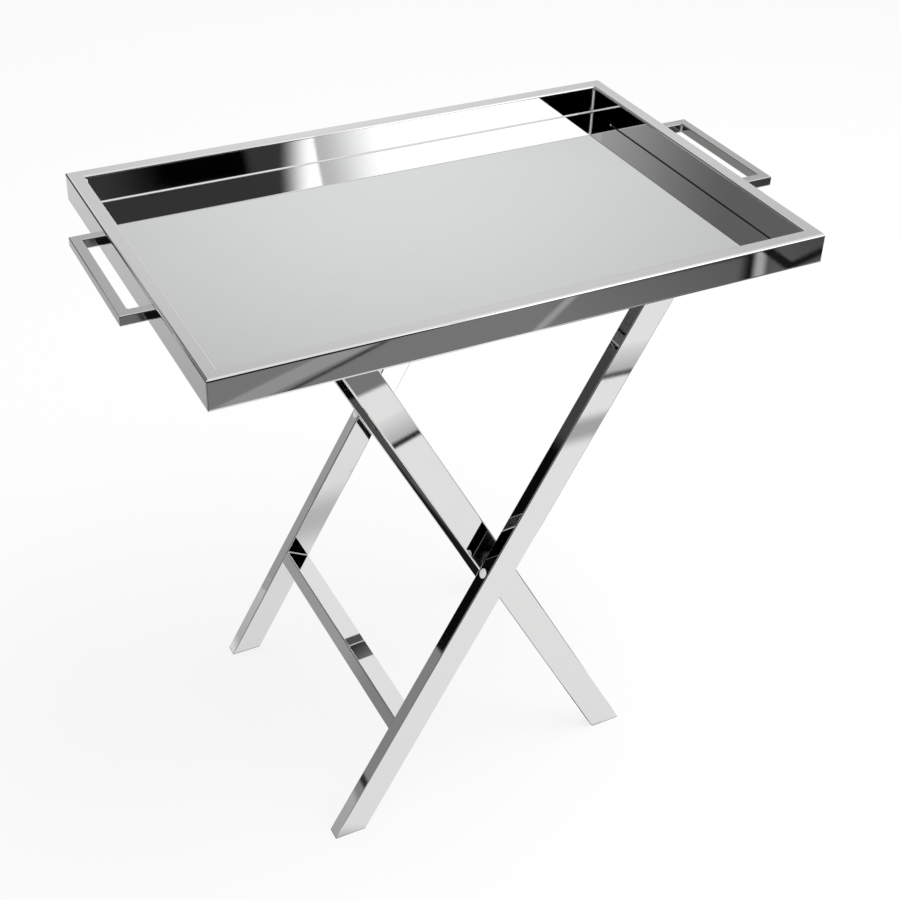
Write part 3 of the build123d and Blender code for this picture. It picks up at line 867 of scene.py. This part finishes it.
class TRAYTABLE_OT_tray_welds(bpy.types.Operator):
    """Add the beads in the tray's inner corners"""

    bl_idname = "tray_table.tray_welds"
    bl_label = "Weld Tray Corners"

    def execute(self, context):
        finishes, welds = context.scene.tray_table_finishes, context.scene.tray_table_welds
        low_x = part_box("tray_left_rail")[1].x
        high_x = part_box("tray_right_rail")[0].x
        low_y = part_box("tray_front_rail")[1].y
        high_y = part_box("tray_back_rail")[0].y
        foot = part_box("tray_floor")[1].z
        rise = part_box("tray_back_rail")[1].z - foot - welds.tray_bead
        corners = ((low_x, low_y), (high_x, low_y), (high_x, high_y), (low_x, high_y))
        places = [upright_bead(x, y, foot, turns, rise) for turns, (x, y) in enumerate(corners)]
        finish = tube_steel("polished_tray_bead", LENGTHWISE_Y, finishes)
        add_beads("tray_corner_beads", places, welds.tray_bead, welds, finish, "tray")
        return {"FINISHED"}


class TRAYTABLE_OT_floor_seam(bpy.types.Operator):
    """Add the seam that closes the joint between the tray's walls and its sheet"""

    bl_idname = "tray_table.floor_seam"
    bl_label = "Close Floor Seam"

    def execute(self, context):
        finishes, welds = context.scene.tray_table_finishes, context.scene.tray_table_welds
        wall_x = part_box("tray_right_rail")[0].x
        wall_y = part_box("tray_back_rail")[0].y
        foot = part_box("tray_floor")[1].z
        seam = bmesh.new()
        seam_section(seam, wall_x, foot, welds)
        for vert in seam.verts:
            vert.co.y = vert.co.x + wall_y - wall_x
        close_ring(seam)
        finish = tube_steel("polished_seam", LENGTHWISE_X, finishes)
        add_piece("tray_floor_seam", seam, finish, "tray")
        return {"FINISHED"}


class TRAYTABLE_OT_handle_welds(bpy.types.Operator):
    """Add the beads in the inner corners of the handles"""

    bl_idname = "tray_table.handle_welds"
    bl_label = "Weld Handles"

    def execute(self, context):
        finishes, welds = context.scene.tray_table_finishes, context.scene.tray_table_welds
        finish = handle_steel("polished_handle_bead", LENGTHWISE_Y, finishes)
        for handle, front_turns, back_turns in (("handle_left", 0, 3), ("handle_right", 1, 2)):
            low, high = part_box(handle)
            bar = high.z - low.z
            grip_x = low.x + bar if handle == "handle_left" else high.x - bar
            places = [upright_bead(grip_x, low.y + bar, low.z, front_turns, bar),
                      upright_bead(grip_x, high.y - bar, low.z, back_turns, bar)]
            add_beads(f"{handle}_beads", places, welds.handle_bead, welds, finish, "tray")
        return {"FINISHED"}


class TRAYTABLE_OT_stand_welds(bpy.types.Operator):
    """Add the beads where the stretcher and the top bars meet the legs"""

    bl_idname = "tray_table.stand_welds"
    bl_label = "Weld Stand"

    def execute(self, context):
        finishes, welds = context.scene.tray_table_finishes, context.scene.tray_table_welds
        finish = tube_steel("polished_stand_bead", LENGTHWISE_X, finishes)
        ends = 2 * welds.stand_bead
        leg_low, leg_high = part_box("outer_leg_front")
        thick = leg_high.y - leg_low.y
        up_leg = Vector((math.sin(LEG_LEAN), 0, math.cos(LEG_LEAN)))
        low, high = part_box("outer_stretcher")
        centre = (low + high) / 2
        places = []
        for side, y in ((1, low.y), (-1, high.y)):
            for face in (1, -1):
                edge = Vector((centre.x, y, centre.z)) + face * thick / 2 * up_leg
                places.append(level_bead(edge, face * up_leg, (0, side, 0), TUBE_WIDTHS * thick - ends))
        add_beads("stretcher_beads", places, welds.stand_bead, welds, finish, "outer_frame")
        for body, bar in (("outer_frame", "outer_top_bar"), ("inner_frame", "inner_top_bar")):
            low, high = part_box(bar)
            places = []
            for side, y in ((1, low.y), (-1, high.y)):
                edge = Vector(((low.x + high.x) / 2, y, low.z))
                places.append(level_bead(edge, (0, 0, -1), (0, side, 0), high.x - low.x - ends))
            add_beads(f"{bar}_beads", places, welds.stand_bead, welds, finish, body)
        return {"FINISHED"}


class TRAYTABLE_OT_studio(bpy.types.Operator):
    """Set the floor, the light, the cards that the metal mirrors, and the camera"""

    bl_idname = "tray_table.studio"
    bl_label = "Set Studio"

    def execute(self, context):
        studio = context.scene.tray_table_studio
        context.scene.view_settings.view_transform = "Standard"
        set_world(studio)
        add_floor(studio)
        add_key_light(studio)
        for card in UPRIGHT_CARDS:
            add_upright_card(card)
        for layer, card in enumerate(FLOOR_CARDS, start=1):
            add_floor_card(card, layer * CARD_LIFT)
        add_camera(studio)
        return {"FINISHED"}


class TRAYTABLE_PT_sidebar(bpy.types.Panel):
    """Steps and settings of the tray table"""

    bl_idname = "TRAYTABLE_PT_sidebar"
    bl_label = "Tray Table"
    bl_space_type = "VIEW_3D"
    bl_region_type = "UI"
    bl_category = "Tray Table"

    def draw(self, context):
        for operator in OPERATORS:
            self.layout.operator(operator.bl_idname)
        for group in SETTINGS:
            settings = getattr(context.scene, group)
            for name in settings.__annotations__:
                self.layout.prop(settings, name)


SETTINGS = {
    "tray_table_finishes": TrayTableFinishes,
    "tray_table_welds": TrayTableWelds,
    "tray_table_studio": TrayTableStudio,
}
OPERATORS = (
    TRAYTABLE_OT_tray_rails,
    TRAYTABLE_OT_tray_sheet,
    TRAYTABLE_OT_stand,
    TRAYTABLE_OT_hardware,
    TRAYTABLE_OT_plastics,
    TRAYTABLE_OT_tray_welds,
    TRAYTABLE_OT_floor_seam,
    TRAYTABLE_OT_handle_welds,
    TRAYTABLE_OT_stand_welds,
    TRAYTABLE_OT_studio,
)
CLASSES = (*SETTINGS.values(), *OPERATORS, TRAYTABLE_PT_sidebar)


def register():
    """Registers the classes and puts the settings on the scene."""
    for entry in CLASSES:
        bpy.utils.register_class(entry)
    for name, group in SETTINGS.items():
        setattr(bpy.types.Scene, name, PointerProperty(type=group))


def unregister():
    """Takes the settings and the classes away again."""
    for name in SETTINGS:
        delattr(bpy.types.Scene, name)
    for entry in reversed(CLASSES):
        bpy.utils.unregister_class(entry)


def main():
    """Registers the add-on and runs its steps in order."""
    register()
    bpy.ops.tray_table.tray_rails()
    bpy.ops.tray_table.tray_sheet()
    bpy.ops.tray_table.stand()
    bpy.ops.tray_table.hardware()
    bpy.ops.tray_table.plastics()
    bpy.ops.tray_table.tray_welds()
    bpy.ops.tray_table.floor_seam()
    bpy.ops.tray_table.handle_welds()
    bpy.ops.tray_table.stand_welds()
    bpy.ops.tray_table.studio()


if __name__ == "__main__":
    main()
